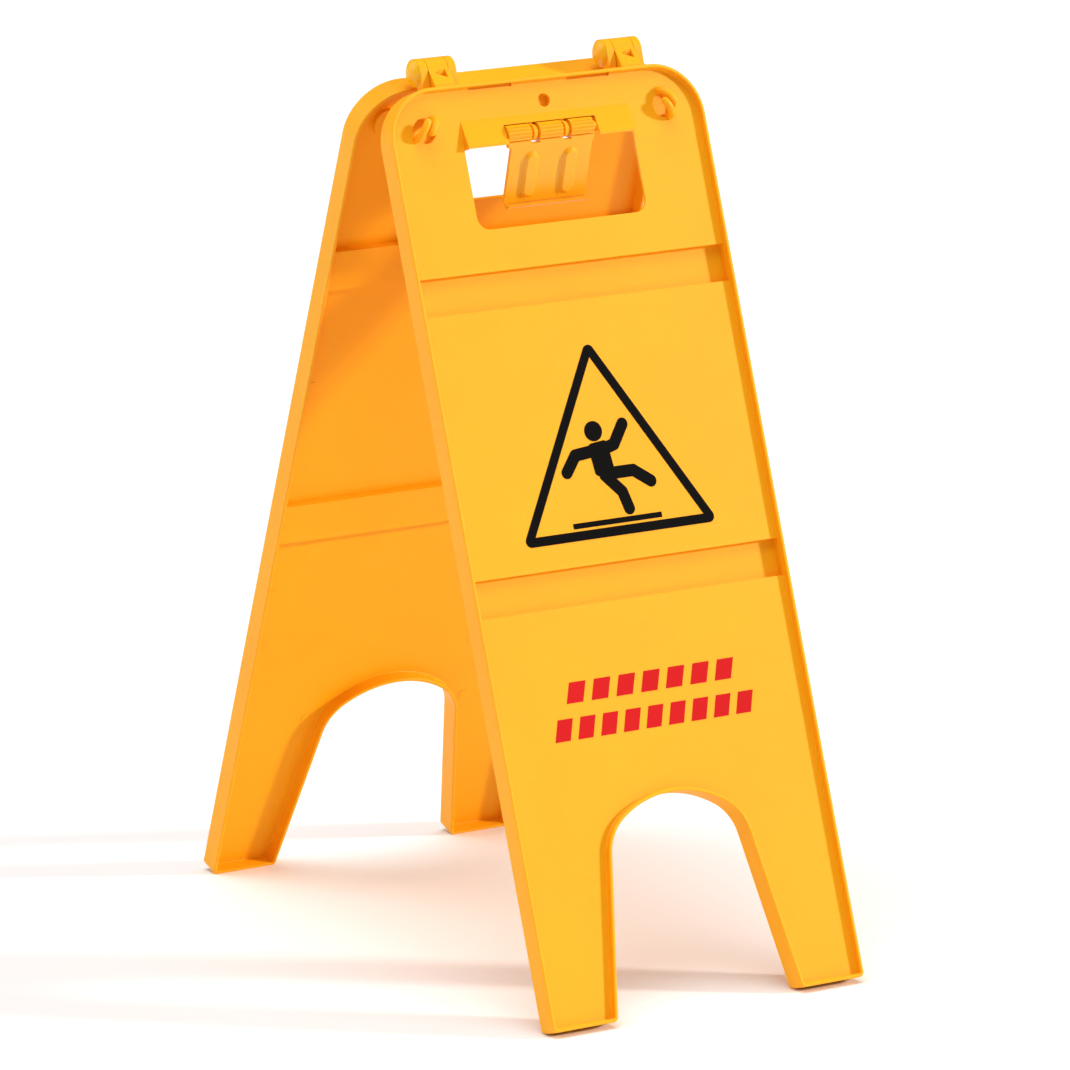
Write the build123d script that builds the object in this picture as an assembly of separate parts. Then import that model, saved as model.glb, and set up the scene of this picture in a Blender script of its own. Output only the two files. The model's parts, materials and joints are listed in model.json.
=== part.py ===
from build123d import *
from math import cos, radians, sin
import os

os.makedirs("parts", exist_ok=True)

# A folding floor sign: two moulded panels, two hinge pins and a flap in the
# carrying handle. All lengths are in millimetres, and the floor is Z = 0.
#
# A panel is drawn flat first. X runs across it, Y is minus the height n above
# the fold plane (n grows outwards), and Z is minus the distance s down from
# the hinge axis. It is then leaned over by half_angle and lifted to the axis.
half_angle = 20.0
axis_height = 589.9

# Panel outline
panel_width = 240.0
top_edge = 12.8
foot_end = 629.0
corner_radius = 36.0
foot_radius = 3.5
crown_top = 488.5
crown_radius = 70.0
crown_blend = 32.0
leg_half_gap = 71.1
leg_slope = 0.17

# Panel section: a web between an outer and an inner rim
rim_inner = 1.0
rim_outer = 17.0
rim_wall = 2.4
web_outer = 12.5
web_wall = 2.2
band_tops = (136.4, 334.6)
band_height = 25.0
band_depth = 5.0
rim_edge_fillet = 0.8
floor_fillet = 0.8

# Ejector marks on the inner face, as (x, s)
ejector_marks = ((-109.6, 241.4), (-109.4, 405.7), (109.6, 241.4), (109.4, 405.7), (-63.2, 513.9), (63.2, 513.9))
ejector_radius = 3.6
ejector_height = 0.35

# Carrying handle
handle_half_width = 64.8
handle_top = 55.5
handle_bottom = 109.0
handle_radius = 9.0
grip_top = 36.5
grip_rise = 5.5
grip_half_width = 64.2
grip_wall = 2.2
grip_rib_wall = 2.4
rib_depth = 3.5
notch_left = -33.5
notch_right = 36.5
notch_top = 42.2
grip_dimple = (1.3, 28.4, 4.5)
rim_notch = (21.0, 54.0, 13.9, 16.8)
rim_notch_floor = 11.4

# Blind round pockets in the web
pocket_floor = 8.5
pocket_wall = 1.8

# Flap bar and the flap that clips on it
bar_height = 13.0
bar_down = 48.8
bar_radius = 2.5
bar_gap = 0.08
boss_radius = 5.2
bar_backing = (3.5, 5.6, 36.0, 51.5)
clip_radius = 6.1
clip_width = 17.5
clip_gap = 6.5
clip_left = -33.0
clip_mouth = 4.3
clip_groove = 0.8
clip_grooves = (-25, -2, 21, 44, 67)
flap_left = -30.5
flap_right = 31.5
flap_wall = 2.5
flap_top = 5.0
flap_length = 50.0
flap_lip = 3.2
flap_lip_wall = 2.0
flap_lean = 14.0
flap_rib = (13.0, 34.0, 2.4)
flap_rib_places = ((-14.0, 27.0), (15.5, 27.0))

# Hinges
hinge_places = (-71.5, 71.5)
barrel_radius = 9.25
knuckle_width = 15.0
ear_width = 5.6
hinge_gap = 0.4
stop_gap = 0.15
pin_radius = 3.0
pin_gap = 0.06
pin_head_radius = 9.0
pin_head_height = 4.2
neck_foot = 8.6
toe_reach = 14.5
toe_edge = 1.6
toe_pocket = ((-3.9, 2.8), (4.7, -1.0), (4.7, 6.8))
toe_pocket_floor = 5.0

# Chain eyes: pairs of curled fingers on the web
eye_places = (-92.0, 92.0)
eye_down = 39.2
eye_ring_radius = 9.0
eye_bar_radius = 2.45
eye_centre_height = 11.9
eye_sweep = 122.0
eye_root = 16.0
eye_split = 2.75
eye_slant = 56.0
eye_pocket = (1.0, 8.5)

# Printed ink
ink = 0.2
triangle_apex = 199.8
triangle_base = 311.9
triangle_half = 64.7
triangle_line = 6.2
triangle_radius = 4.2
figure_head = (-7.3, 248.3, 6.7)
figure_limb = 8.2
figure_strokes = (
    ((-5.5, 262.0), (-3.5, 276.0)),
    ((-9.0, 261.0), (-24.0, 262.5), (-32.5, 273.0)),
    ((-1.0, 260.5), (6.5, 258.5), (15.5, 246.0)),
    ((-2.0, 277.0), (17.5, 277.0), (29.5, 285.5)),
    ((-4.5, 278.0), (6.5, 290.0), (9.5, 301.5)),
)
figure_torso = (15.0, 22.0, 266.5)
ground_bar = (-35.0, 33.0, 306.6, 310.2)
dash_rows = ((408.0, 421.5, -64.0, 67.0, 7), (431.0, 445.3, -77.5, 77.5, 9))
dash_share = 0.66
dash_slant = 4.5

overlap = 0.4
beyond = 6.0


def slab(sketch, low, high):
    """A flat sketch in (x, -s), made solid between two heights above the fold plane."""
    return extrude(Plane.XZ.offset(low) * sketch, high - low, dir=(0, -1, 0))


def side(points, left, right):
    """A profile of (n, s) points, run across the panel from left to right."""
    outline = Polygon(*[(-n, -s) for n, s in points], align=None)
    return extrude(Plane.YZ.offset(left) * outline, right - left, dir=(1, 0, 0))


def rod(radius, height, down, left, right):
    """A round bar across the panel."""
    middle = (left + right) / 2
    place = Location((middle, -height, -down), (0, 90, 0))
    return place * Cylinder(radius, right - left)


def block(left, right, low, high, top, bottom):
    """A box from its limits in x, n and s."""
    return slab(
        Pos((left + right) / 2, -(top + bottom) / 2) * Rectangle(right - left, bottom - top),
        low,
        high,
    )


def edges_at(body, height):
    """The edges that lie at one height above the fold plane."""
    return body.edges().filter_by_position(Axis.Y, -height - 0.01, -height + 0.01)


def arch():
    foot = foot_end + beyond
    low_half = leg_half_gap + leg_slope * beyond
    high_half = leg_half_gap - leg_slope * (foot_end - crown_top)
    wedge = Polygon(
        (-low_half, -foot),
        (low_half, -foot),
        (high_half, -crown_top),
        (-high_half, -crown_top),
        align=None,
    )
    centre = crown_top + crown_radius
    crown = Pos(0, -centre) * Circle(crown_radius)
    below = Pos(0, -(centre + foot) / 2) * Rectangle(2 * panel_width, foot - centre)
    opening = wedge & (crown + below)
    shoulders = opening.vertices().sort_by(Axis.Y)[-2:]
    return fillet(shoulders, crown_blend)


def panel_outline():
    middle = (top_edge + foot_end) / 2
    board = Pos(0, -middle) * Rectangle(panel_width, foot_end - top_edge)
    board = fillet(board.vertices().group_by(Axis.Y)[-1], corner_radius)
    board -= arch()
    return fillet(board.vertices().group_by(Axis.Y)[0], foot_radius)


def shell():
    """The rim with its web, and the two stepped bands across the web."""
    outline = panel_outline()
    inside = offset(outline, amount=-rim_wall)
    body = slab(outline, rim_inner, rim_outer)
    body -= slab(inside, web_outer, rim_outer + beyond)
    body -= slab(inside, rim_inner - beyond, web_outer - web_wall)
    for height in (web_outer, web_outer - web_wall):
        body = fillet(edges_at(body, height), floor_fillet)
    for height in (rim_outer, rim_inner):
        body = fillet(edges_at(body, height), rim_edge_fillet)
    across = panel_width / 2 - rim_wall
    for top in band_tops:
        bottom = top + band_height
        floor = web_outer - band_depth
        low = floor - web_wall
        body += block(
            -across - overlap, across + overlap, low, web_outer - web_wall / 2,
            top - web_wall, bottom + web_wall,
        )
        body -= block(-across, across, floor, web_outer + overlap, top, bottom)
    return body


def grip():
    """The handle's grip, which swells out of the web, as its solid and its hollow."""
    outer_low = web_outer + grip_rise
    skin = web_outer - web_wall
    solid = side(
        [
            (skin, grip_top),
            (web_outer, grip_top),
            (outer_low - 0.4, handle_top - 1.6),
            (outer_low - 0.6, handle_top),
            (skin, handle_top),
        ],
        -grip_half_width,
        grip_half_width,
    )
    slope = grip_rise / (handle_top - grip_top)
    rise = web_outer - grip_wall * 1.05
    inner_half = grip_half_width - grip_wall
    hollow = side(
        [
            (rise, grip_top),
            (rise + slope * (handle_top - grip_top + 1.0), handle_top + 1.0),
            (rim_inner, handle_top + 1.0),
            (rim_inner, grip_top),
        ],
        -inner_half,
        inner_half,
    )
    return solid, hollow


def handle_hole():
    height = handle_bottom - handle_top
    hole = Pos(0, -(handle_top + height / 2)) * Rectangle(2 * handle_half_width, height)
    return fillet(hole.vertices().group_by(Axis.Y)[0], handle_radius)


def rib(x, reach):
    """A stiffening rib behind the grip; reach lists its lower end as (n, s) points."""
    half = grip_rib_wall / 2
    start = top_edge + rim_wall / 2
    mid = web_outer - web_wall / 2
    return side(
        [(mid, start), (rib_depth, start), *reach, (mid, grip_top)],
        x - half,
        x + half,
    )


def handle():
    """Everything added to and cut from the web around the handle."""
    solid, hollow = grip()
    added = [rib(x, [(rib_depth, 43.0), (10.0, 52.5), (15.4, 52.5)]) for x in (-60.0, 62.0)]
    return solid, hollow, added


def flap_mount():
    """The bar the flap clips on, held by the notch's ends and two bossed ribs."""
    half = grip_rib_wall / 2
    pieces = []
    for x in (notch_left - half, notch_right + half):
        pieces.append(rib(x, [(rib_depth, 43.0), (10.0, 52.5), (15.4, 52.5)]))
    step = clip_width + clip_gap
    for count in (1, 2):
        x = clip_left + count * step - clip_gap / 2
        pieces.append(rib(x, [(rib_depth, 42.0), (9.0, bar_down), (15.6, bar_down), (12.8, 42.0)]))
        pieces.append(rod(boss_radius, bar_height, bar_down, x - half, x + half))
    pieces.append(rod(bar_radius, bar_height, bar_down, notch_left - 1.0, notch_right + 1.0))
    pieces.append(block(notch_left - 1.0, notch_right + 1.0, *bar_backing))
    return pieces


def chain_eye(x):
    """Two curled fingers that rise from the web, lean together and pass each other."""
    sign = -1 if x < 0 else 1
    along = Vector(cos(radians(eye_slant)), 0, -sign * sin(radians(eye_slant)))
    outward = Vector(0, -1, 0)
    pieces = []
    for way in (1, -1):
        start = along * way
        turn = start.cross(outward)
        origin = Vector(x, -eye_centre_height, -eye_down) + turn * eye_split
        frame = Plane(origin=origin, x_dir=start, z_dir=turn)
        finger = Rot(0, 0, -eye_root) * Torus(
            eye_ring_radius, eye_bar_radius, major_angle=eye_sweep, align=None
        )
        tip = Rot(0, 0, eye_sweep - eye_root) * Pos(eye_ring_radius, 0, 0) * Sphere(eye_bar_radius)
        pieces.append(frame * (finger + tip))
    return pieces


def pocket(x, down, radius):
    """A blind round pocket in the web: its cup and its hollow."""
    spot = Pos(x, -down)
    cup = slab(spot * Circle(radius + pocket_wall), pocket_floor - pocket_wall, web_outer - web_wall / 2)
    return cup, slab(spot * Circle(radius), pocket_floor, web_outer + overlap)


def barrel(profile, left, right):
    """A hinge barrel on the axis, with its neck's profile."""
    return rod(barrel_radius, 0, 0, left, right) + side(profile, left, right)


def hinge_limits(x):
    knuckle = x - knuckle_width / 2, x + knuckle_width / 2
    first = knuckle[0] - hinge_gap - ear_width, knuckle[0] - hinge_gap
    last = knuckle[1] + hinge_gap, knuckle[1] + hinge_gap + ear_width
    return knuckle, first, last


neck = [
    (rim_inner, 0),
    (barrel_radius, 0),
    (neck_foot, top_edge + overlap),
    (rim_inner, top_edge + overlap),
]


def ears(x):
    """The two outer barrels of a hinge, on the front panel."""
    knuckle, first, last = hinge_limits(x)
    pieces = [barrel(neck, *first), barrel(neck, *last)]
    bore = rod(pin_radius, 0, 0, first[0] - beyond, last[1] + beyond)
    return pieces, bore


def knuckle(x):
    """The middle barrel, on the rear panel, with the toe that stops the sign opening further.

    It is drawn in the rear panel's own frame, mirrored, so the toe is drawn
    in the front panel's and turned by the opening angle.
    """
    limits, first, last = hinge_limits(x)
    middle = barrel(neck, *limits)
    toe = side(
        [
            (0, 0),
            (barrel_radius, 0),
            (toe_reach, top_edge - stop_gap - toe_edge),
            (toe_reach, top_edge - stop_gap),
            (rim_inner, top_edge - stop_gap),
        ],
        *limits,
    )
    corners = [(x + across, -down) for across, down in toe_pocket]
    toe -= slab(Polygon(*corners, align=None), toe_pocket_floor, toe_reach + beyond)
    bore = rod(pin_radius + pin_gap, 0, 0, limits[0] - beyond, limits[1] + beyond)
    return middle, toe, bore


def stand(flat):
    return Pos(0, 0, axis_height) * Rot(-half_angle, 0, 0) * flat


def above_floor(solid):
    """Foot ends are cut level where they meet the floor."""
    size = 2 * foot_end
    return solid - Pos(0, 0, -size / 2) * Box(size, size, size)


def panel_blank():
    solid, hollow, ribs = handle()
    body = shell() + solid - hollow
    for piece in ribs:
        body += piece
    body -= slab(handle_hole(), rim_inner - beyond, rim_outer + beyond)
    lower, radius = eye_pocket
    pockets = [(x, eye_down + lower, radius) for x in eye_places] + [grip_dimple]
    for spot in pockets:
        cup, inside = pocket(*spot)
        body = body + cup - inside
    near, far, top, bottom = rim_notch
    for sign in (-1, 1):
        left, right = sorted((sign * near, sign * far))
        body -= block(left, right, rim_notch_floor, rim_outer - 1.6, top, bottom)
    for x, down in ejector_marks:
        mark = Pos(x, -down) * Circle(ejector_radius)
        body += slab(mark, web_outer - web_wall - ejector_height, web_outer - web_wall / 2)
    for x in eye_places:
        for piece in chain_eye(x):
            body += piece
    return body


def front_panel(blank):
    body = blank - block(notch_left, notch_right, rim_inner, rim_outer + beyond, notch_top, handle_top + 1.0)
    for piece in flap_mount():
        body += piece
    for x in hinge_places:
        pieces, bore = ears(x)
        for piece in pieces:
            body += piece
        body -= bore
    return above_floor(stand(body))


def rear_panel(blank):
    body = mirror(blank, Plane.XZ)
    front_toes = []
    for x in hinge_places:
        middle, toe, bore = knuckle(x)
        body += mirror(middle, Plane.XZ)
        body -= bore
        front_toes.append(toe - bore)
    body = Pos(0, 0, axis_height) * Rot(half_angle, 0, 0) * body
    for toe in front_toes:
        body += stand(toe)
    return above_floor(body)


def hinge_pin(x):
    """A pin with a domed head, pushed in from the left."""
    limits, first, last = hinge_limits(x)
    shank = rod(pin_radius, 0, 0, first[0] - overlap, last[1])
    dome_radius = (pin_head_radius**2 + pin_head_height**2) / (2 * pin_head_height)
    centre = first[0] - pin_head_height + dome_radius
    dome = Pos(centre, 0, 0) * Sphere(dome_radius)
    dome &= rod(pin_head_radius, 0, 0, first[0] - pin_head_height - 1.0, first[0])
    return stand(shank + dome)


def flap_curl():
    """The finger lip: the flap's lower edge curls outwards through half a turn."""
    height = clip_radius - flap_wall + flap_lip
    down = flap_length - flap_lip
    left = flap_left + flap_lip / 2
    right = flap_right
    curl = rod(flap_lip, height, down, left, right)
    curl -= rod(flap_lip - flap_lip_wall, height, down, left - 1.0, right + 1.0)
    return curl - block(left - 1.0, right + 1.0, -beyond, 4 * beyond, down - beyond, down)


def handle_flap():
    """The flap, drawn hanging straight down from the bar, then leaned back and placed."""
    body = None
    for count in range(3):
        left = clip_left + count * (clip_width + clip_gap)
        ring = rod(clip_radius, 0, 0, left, left + clip_width)
        arm = side(
            [(0, 0), (clip_radius, 0), (clip_radius, flap_top + 2), (clip_radius - flap_wall, flap_top + 2)],
            left,
            left + clip_width,
        )
        body = ring + arm if body is None else body + ring + arm
    width = flap_right - flap_left
    middle = (flap_left + flap_right) / 2
    low = flap_length - flap_lip
    plate = Pos(middle, -(flap_top + low) / 2) * Rectangle(width, low - flap_top)
    body += slab(plate, clip_radius - flap_wall, clip_radius)
    body += flap_curl()
    rib_width, rib_length, rib_height = flap_rib
    for x, down in flap_rib_places:
        bead = Pos(x, -down) * SlotOverall(rib_length, rib_width, rotation=90)
        body += extrude(
            Plane.XZ.offset(clip_radius - overlap) * bead, rib_height + overlap, dir=(0, -1, 0), taper=45
        )
    body -= rod(bar_radius + bar_gap, 0, 0, clip_left - beyond, clip_left + 80.0)
    body -= block(clip_left - beyond, clip_left + 80.0, -beyond - 1, 0, -clip_mouth / 2, clip_mouth / 2)
    for turn in clip_grooves:
        place = clip_radius * cos(radians(turn)), -clip_radius * sin(radians(turn))
        body -= rod(clip_groove, *place, clip_left - beyond, clip_left + 80.0)
    axis = stand(Pos(0, -bar_height, -bar_down) * Vertex(0, 0, 0)).center()
    return Pos(*axis) * Rot(flap_lean, 0, 0) * body


def stroke(points, width):
    """A round-ended line through (x, s) points."""
    line = None
    for (x0, s0), (x1, s1) in zip(points, points[1:]):
        start = Vector(x0, -s0)
        run = Vector(x1, -s1) - start
        middle = start + run / 2
        turn = run.get_angle(Vector(1, 0, 0)) * (1 if run.Y >= 0 else -1)
        leg = Pos(middle.X, middle.Y) * Rot(0, 0, turn) * SlotCenterToCenter(run.length, width)
        line = leg if line is None else line + leg
    return line


def pictogram():
    """A hazard triangle around a plain slipping figure of round-ended limbs."""
    inner = Polygon(
        (0, -triangle_apex), (triangle_half, -triangle_base), (-triangle_half, -triangle_base), align=None
    )
    outer = offset(inner, amount=triangle_line, kind=Kind.INTERSECTION)
    outer = fillet(outer.vertices(), triangle_radius)
    art = outer - inner
    left, right, top, bottom = ground_bar
    art += Pos((left + right) / 2, -(top + bottom) / 2) * Rectangle(right - left, bottom - top)
    x, down, radius = figure_head
    figure = Pos(x, -down) * Circle(radius)
    wide, tall, middle = figure_torso
    figure += Pos(-4.8, -middle) * Rot(0, 0, 6) * RectangleRounded(wide, tall, 3.0)
    for points in figure_strokes:
        figure += stroke(points, figure_limb)
    return slab(art + figure, web_outer, web_outer + ink)


def dashes():
    """Two rows of slanted hazard dashes."""
    art = None
    for top, bottom, left, right, count in dash_rows:
        pitch = (right - left - dash_slant) / (count - 1 + dash_share)
        for place in range(count):
            start = left + place * pitch
            end = start + pitch * dash_share
            dash = Polygon(
                (start, -bottom), (end, -bottom), (end + dash_slant, -top), (start + dash_slant, -top),
                align=None,
            )
            art = dash if art is None else art + dash
    return slab(art, web_outer, web_outer + ink)


def facing_rear(art):
    """The same print turned round onto the rear panel's outer face."""
    return Rot(0, 0, 180) * art


blank = panel_blank()
pieces = {
    "front_panel": front_panel(blank),
    "rear_panel": rear_panel(blank),
    "hinge_pin_left": hinge_pin(hinge_places[0]),
    "hinge_pin_right": hinge_pin(hinge_places[1]),
    "handle_flap": handle_flap(),
    "front_pictogram": stand(pictogram()),
    "front_dashes": stand(dashes()),
    "rear_pictogram": facing_rear(stand(pictogram())),
    "rear_dashes": facing_rear(stand(dashes())),
}
for name, piece in pieces.items():
    export_step(piece, f"parts/{name}.step")
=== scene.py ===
import json
from math import degrees, pi, radians

import bmesh
import bpy
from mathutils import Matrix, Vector


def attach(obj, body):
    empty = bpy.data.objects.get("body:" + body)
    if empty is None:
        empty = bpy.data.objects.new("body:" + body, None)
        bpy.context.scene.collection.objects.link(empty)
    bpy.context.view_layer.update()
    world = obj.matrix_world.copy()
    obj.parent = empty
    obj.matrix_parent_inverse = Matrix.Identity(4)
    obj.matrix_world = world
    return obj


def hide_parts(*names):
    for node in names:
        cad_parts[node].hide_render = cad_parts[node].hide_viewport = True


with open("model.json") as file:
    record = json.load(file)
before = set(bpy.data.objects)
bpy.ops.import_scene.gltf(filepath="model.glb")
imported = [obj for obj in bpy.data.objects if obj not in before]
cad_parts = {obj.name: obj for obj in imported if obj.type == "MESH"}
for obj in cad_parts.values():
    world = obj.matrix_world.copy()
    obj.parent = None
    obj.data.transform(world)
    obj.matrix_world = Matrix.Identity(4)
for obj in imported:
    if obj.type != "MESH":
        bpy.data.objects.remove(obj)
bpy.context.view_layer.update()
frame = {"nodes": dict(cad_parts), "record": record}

scene = bpy.context.scene
bodies = frame["record"]["behaviour"]["bodies"]
bodyOf = {node: body for body, nodes in bodies.items() for node in nodes}
print("frame loaded:", sorted(frame["nodes"]))

# Camera: far off and a little above, looking in from the left of the front panel
cameraSettings = {
    "place": (-2.529, -4.1249, 1.4407),
    "lookAt": (0.00774, 0.0, 0.2694),
    "lens": 251.5,
    "sensor": 36.0,
    "reach": 1000.0,
}


def aim(obj, place, target):
    obj.location = place
    obj.rotation_euler = (Vector(target) - Vector(place)).to_track_quat("-Z", "Y").to_euler()


cameraData = bpy.data.cameras.new("camera")
cameraData.lens = cameraSettings["lens"]
cameraData.sensor_width = cameraSettings["sensor"]
cameraData.clip_end = cameraSettings["reach"]
camera = bpy.data.objects.new("camera", cameraData)
scene.collection.objects.link(camera)
aim(camera, cameraSettings["place"], cameraSettings["lookAt"])
scene.camera = camera
print("camera set")

# Studio: white surround, a key from the right, a broad soft light above and a weak one
# behind on the left. A sun of share 1 alone would light a white card facing it to full white
studio = {
    "surround": ("ffffff", 0.20),
    "suns": {
        "key": {
            "towards": (0.80, -0.52, 0.34), "share": 0.82, "angle": 6.0, "colour": "fffaf2",
        },
        "overhead": {
            "towards": (-0.10, -0.10, 1.0), "share": 0.70, "angle": 50.0, "colour": "ffffff",
        },
        "backLeft": {
            "towards": (-0.75, 0.45, 0.48), "share": 0.30, "angle": 50.0, "colour": "ffffff",
        },
    },
    "floorSize": 600.0,
    "floorColour": "f7f7f7",
    "floorRoughness": 0.8,
}


# sRGB hex to linear RGBA
def linear(hexColour):
    parts = [int(hexColour[i:i + 2], 16) / 255 for i in (0, 2, 4)]
    return (*[p / 12.92 if p <= 0.04045 else ((p + 0.055) / 1.055) ** 2.4 for p in parts], 1.0)


def addNode(tree, kind, inputs=(), **settings):
    node = tree.nodes.new(kind)
    for name, value in settings.items():
        setattr(node, name, value)
    for name, value in dict(inputs).items():
        socket = node.inputs[name]
        if isinstance(value, bpy.types.NodeSocket):
            tree.links.new(value, socket)
        else:
            socket.default_value = value
    return node


surroundColour, surroundStrength = studio["surround"]
world = bpy.data.worlds.new("studioSurround")
world.use_nodes = True
background = world.node_tree.nodes["Background"]
background.inputs["Color"].default_value = linear(surroundColour)
background.inputs["Strength"].default_value = surroundStrength
scene.world = world
scene.view_settings.view_transform = "Standard"

for sunName, sun in studio["suns"].items():
    data = bpy.data.lights.new(sunName, "SUN")
    data.energy = sun["share"] * pi
    data.angle = radians(sun["angle"])
    data.color = linear(sun["colour"])[:3]
    obj = bpy.data.objects.new(sunName, data)
    scene.collection.objects.link(obj)
    aim(obj, sun["towards"], (0.0, 0.0, 0.0))
print("studio lit")


def newMaterial(name):
    material = bpy.data.materials.new(name)
    material.use_nodes = True
    tree = material.node_tree
    return material, tree, tree.nodes["Principled BSDF"]


# Moulded polypropylene: a saturated satin skin with a fine spark-eroded grain,
# faint flow mottling, and light that bleeds a little way into the plastic.
# Lengths are in metres, apart from the two marked as millimetres
polypropylene = {
    "base": "fbad10",
    "flow": "faa90d",
    "flowMm": 70.0,
    "flowDetail": 3.0,
    "flowEdges": (0.3, 0.7),
    "roughness": 0.42,
    "roughnessSpread": 0.04,
    "specular": 0.22,
    "refraction": 1.49,
    "grainMm": 0.5,
    "grainDetail": 2.0,
    "grainHeight": 0.00005,
    "grainStrength": 0.25,
    "bleed": 0.15,
    "bleedReach": (0.0060, 0.0018, 0.0002),
}


def mouldedPlastic(name, look):
    material, tree, shader = newMaterial(name)
    coords = addNode(tree, "ShaderNodeTexCoord").outputs["Object"]
    flow = addNode(tree, "ShaderNodeTexNoise", {
        "Vector": coords, "Scale": 1000.0 / look["flowMm"], "Detail": look["flowDetail"],
    }).outputs["Fac"]
    mottle = addNode(tree, "ShaderNodeValToRGB", {"Fac": flow})
    stops = zip(mottle.color_ramp.elements, look["flowEdges"], (look["base"], look["flow"]))
    for stop, edge, colour in stops:
        stop.position = edge
        stop.color = linear(colour)
    tree.links.new(mottle.outputs["Color"], shader.inputs["Base Color"])
    sheen = addNode(tree, "ShaderNodeMapRange", {
        "Value": flow,
        "To Min": look["roughness"] - look["roughnessSpread"],
        "To Max": look["roughness"] + look["roughnessSpread"],
    })
    tree.links.new(sheen.outputs["Result"], shader.inputs["Roughness"])
    grain = addNode(tree, "ShaderNodeTexNoise", {
        "Vector": coords, "Scale": 1000.0 / look["grainMm"], "Detail": look["grainDetail"],
    })
    bump = addNode(tree, "ShaderNodeBump", {
        "Height": grain.outputs["Fac"],
        "Strength": look["grainStrength"],
        "Distance": look["grainHeight"],
    })
    tree.links.new(bump.outputs["Normal"], shader.inputs["Normal"])
    shader.inputs["IOR"].default_value = look["refraction"]
    shader.inputs["Specular IOR Level"].default_value = look["specular"]
    shader.inputs["Subsurface Weight"].default_value = look["bleed"]
    shader.inputs["Subsurface Radius"].default_value = look["bleedReach"]
    shader.inputs["Subsurface Scale"].default_value = 1.0
    return material


panelPlastic = mouldedPlastic("mouldedPolypropylene", polypropylene)
# Polypropylene off a polished mould: the same colour, with a tighter shine on the clips
flapPlastic = mouldedPlastic("polishedPolypropylene", {
    **polypropylene, "roughness": 0.26, "specular": 0.5,
})
# Glossy nylon: a slightly lemon yellow with a small bright highlight on each domed head
pinPlastic = mouldedPlastic("glossyNylon", {
    **polypropylene, "base": "fcb800", "flow": "fab300", "roughness": 0.28, "specular": 0.45,
})
# Flat black screen ink: a dry, nearly sheenless coat over the satin plastic
blackInk = mouldedPlastic("blackScreenInk", {
    **polypropylene, "base": "030303", "flow": "050505",
    "roughness": 0.6, "specular": 0.05, "bleed": 0.0,
})
# Red screen ink: the same dry coat, in a clear signal red
redInk = mouldedPlastic("redScreenInk", {
    **polypropylene, "base": "cf1216", "flow": "c81013",
    "roughness": 0.6, "specular": 0.1, "bleed": 0.0,
})
print("materials made")

# Moulded pieces: the frame's shapes with their edges broken as a mould leaves them
mouldedPieces = {
    "front_panel": {
        "name": "frontPanelMoulding", "material": panelPlastic,
        "slot": "panel_plastic", "edge": 0.0005,
    },
    "rear_panel": {
        "name": "rearPanelMoulding", "material": panelPlastic,
        "slot": "panel_plastic", "edge": 0.0005,
    },
    "handle_flap": {
        "name": "handleFlapMoulding", "material": flapPlastic,
        "slot": "flap_plastic", "edge": 0.0003,
    },
    "hinge_pin_left": {
        "name": "hingePinLeft", "material": pinPlastic, "slot": "pin_plastic", "edge": 0.0004,
    },
    "hinge_pin_right": {
        "name": "hingePinRight", "material": pinPlastic, "slot": "pin_plastic", "edge": 0.0004,
    },
}

# How each copy is merged and shaded: fillets stay smooth, and two broad flats that
# meet at a shallow angle keep a crease. Angles in degrees, area in square metres
moulding = {
    "weld": 2e-6,
    "flatAngle": 0.05,
    "creaseAngle": 32.0,
    "broadCreaseAngle": 4.0,
    "broadArea": 40e-6,
    "bevelAngle": 40.0,
    "bevelSegments": 2,
    "normalWeight": 100,
}


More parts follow.
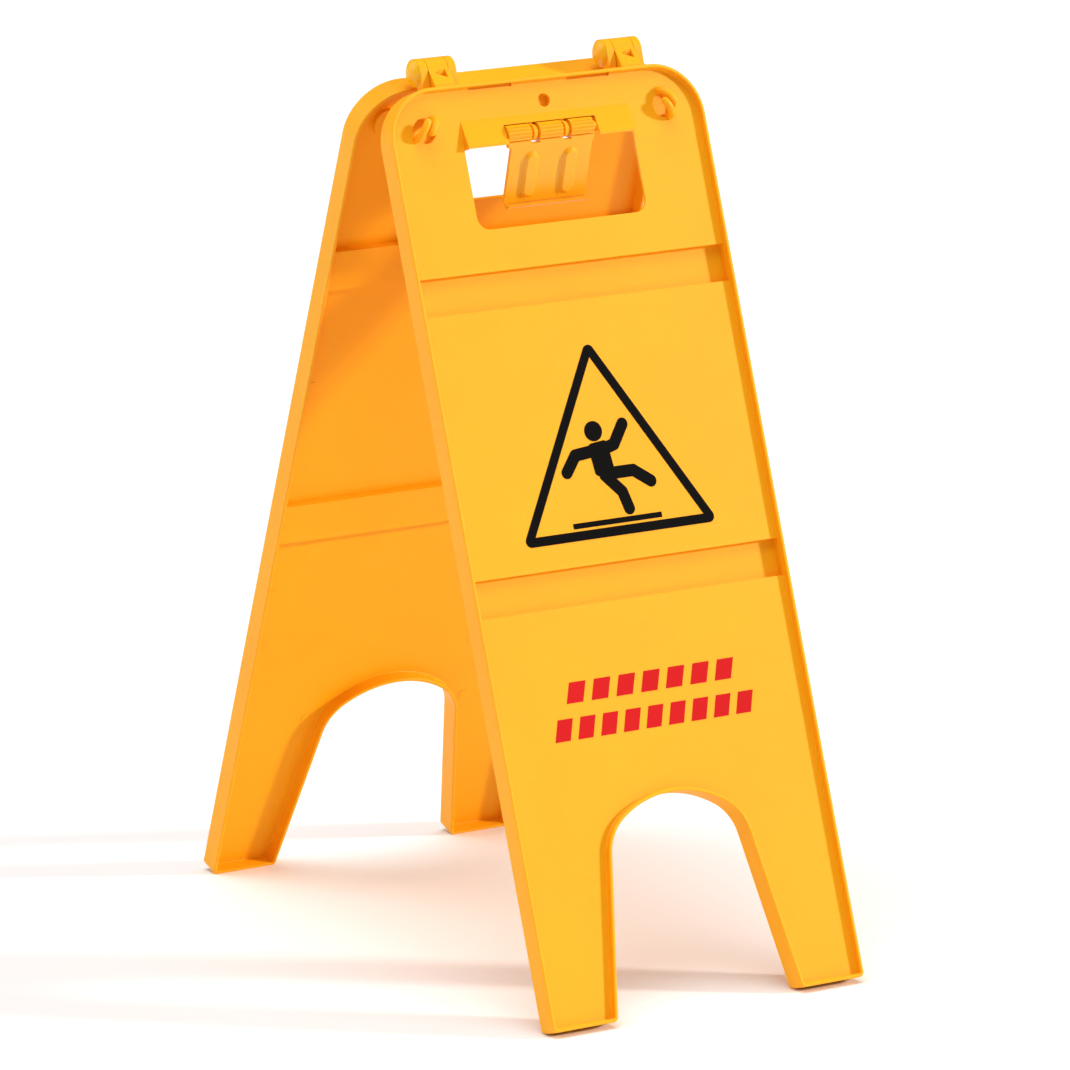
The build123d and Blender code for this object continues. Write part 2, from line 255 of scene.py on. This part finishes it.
def mouldedCopy(node, look):
    mesh = frame["nodes"][node].data.copy()
    mesh.name = look["name"]
    bm = bmesh.new()
    bm.from_mesh(mesh)
    bmesh.ops.remove_doubles(bm, verts=bm.verts, dist=moulding["weld"])
    bmesh.ops.dissolve_limit(
        bm, angle_limit=radians(moulding["flatAngle"]), verts=bm.verts, edges=bm.edges
    )
    for face in bm.faces:
        face.smooth = True
    for edge in bm.edges:
        narrowest = min((face.calc_area() for face in edge.link_faces), default=0.0)
        broad = narrowest > moulding["broadArea"]
        crease = moulding["broadCreaseAngle"] if broad else moulding["creaseAngle"]
        edge.smooth = degrees(edge.calc_face_angle(pi)) < crease
    bm.to_mesh(mesh)
    bm.free()
    mesh.materials.clear()
    mesh.materials.append(look["material"])
    piece = bpy.data.objects.new(look["name"], mesh)
    scene.collection.objects.link(piece)
    bevel = piece.modifiers.new("brokenEdges", "BEVEL")
    bevel.width = look["edge"]
    bevel.segments = moulding["bevelSegments"]
    bevel.limit_method = "ANGLE"
    bevel.angle_limit = radians(moulding["bevelAngle"])
    weighted = piece.modifiers.new("flatNormals", "WEIGHTED_NORMAL")
    weighted.mode = "FACE_AREA"
    weighted.weight = moulding["normalWeight"]
    weighted.keep_sharp = True
    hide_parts(node)
    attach(piece, bodyOf[node])
    return piece


for node, look in mouldedPieces.items():
    mouldedCopy(node, look)
print("moulded pieces made")

# Prints: the frame's own thin layers, inked
printInks = {
    "front_pictogram": blackInk,
    "rear_pictogram": blackInk,
    "front_dashes": redInk,
    "rear_dashes": redInk,
}
for node, ink in printInks.items():
    data = frame["nodes"][node].data
    data.materials.clear()
    data.materials.append(ink)
print("prints inked")

# Floor: a pale matt sheet, wide enough to reach the horizon in low views
floorMesh = bpy.data.meshes.new("floor")
bm = bmesh.new()
bmesh.ops.create_grid(bm, x_segments=1, y_segments=1, size=studio["floorSize"] / 2)
bm.to_mesh(floorMesh)
bm.free()
floor = bpy.data.objects.new("floor", floorMesh)
scene.collection.objects.link(floor)
floorMaterial, floorTree, floorShader = newMaterial("paleFloor")
floorShader.inputs["Base Color"].default_value = linear(studio["floorColour"])
floorShader.inputs["Roughness"].default_value = studio["floorRoughness"]
floorMesh.materials.append(floorMaterial)
print("floor laid")
